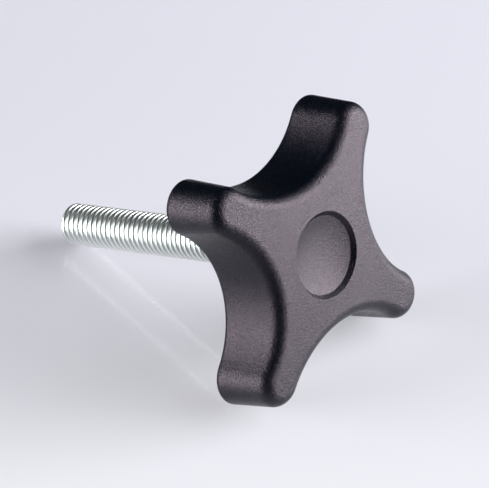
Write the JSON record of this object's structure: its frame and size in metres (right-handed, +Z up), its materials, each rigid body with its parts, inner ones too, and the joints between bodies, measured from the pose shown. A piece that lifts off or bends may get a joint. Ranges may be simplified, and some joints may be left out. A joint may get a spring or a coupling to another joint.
{
  "type": "star knob",
  "caption": "Moulded star knob with rounded arms, a domed face with a round recess, and a long threaded stud, lying at rest on its arms and stud tip.",
  "frame": {"origin": "on the ground, at the centre of the bottom of the box round the resting knob", "axes": "+Z up as it lies, +Y towards the stud's tip, along which the stud points and falls; the face looks along -Y and is tipped up by about 20 degrees; +X across, midway between two arms"},
  "size_m": [0.0454, 0.0691, 0.0456],
  "materials": {
    "grip_plastic": "spark-textured charcoal black moulding",
    "plated_steel": "bright zinc plating"
  },
  "bodies": {
    "root": {"knob_body": "grip_plastic", "threaded_stud": "plated_steel"}
  },
  "joints": []
}
